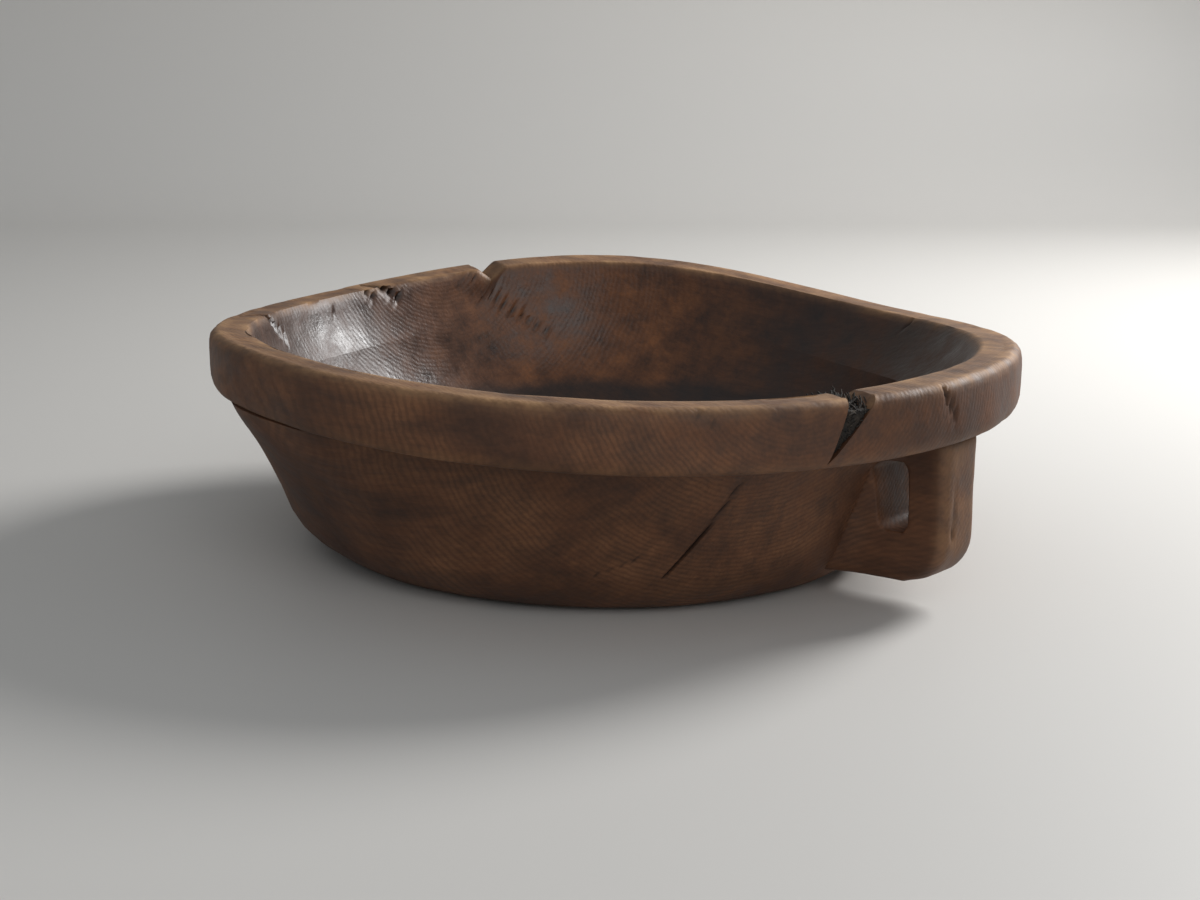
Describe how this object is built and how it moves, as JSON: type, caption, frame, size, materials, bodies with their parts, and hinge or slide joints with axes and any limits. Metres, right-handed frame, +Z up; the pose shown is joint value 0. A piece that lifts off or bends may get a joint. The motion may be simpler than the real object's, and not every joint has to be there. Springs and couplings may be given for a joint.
{
  "type": "dough bowl",
  "caption": "Carved oval wooden bowl with flared wall, thick overhanging lip, pierced lug handle under the lip and an old packed heart split.",
  "frame": {"origin": "middle of the bounding box at the level of the flat that the bowl rests on", "axes": "+X through the lug handle along the oval's length, +Z up"},
  "size_m": [0.6203, 0.5642, 0.1758],
  "materials": {
    "aged_wood": "dark aged, worn satin",
    "caulking": "dark matted fibre"
  },
  "bodies": {
    "root": {"bowl_floor": "aged_wood", "near_wall": "aged_wood", "handle_side_wall": "aged_wood", "near_rim": "aged_wood", "handle_side_rim": "aged_wood", "rim_wedge": "aged_wood", "lug_handle": "aged_wood", "split_caulking": "caulking"}
  },
  "joints": []
}
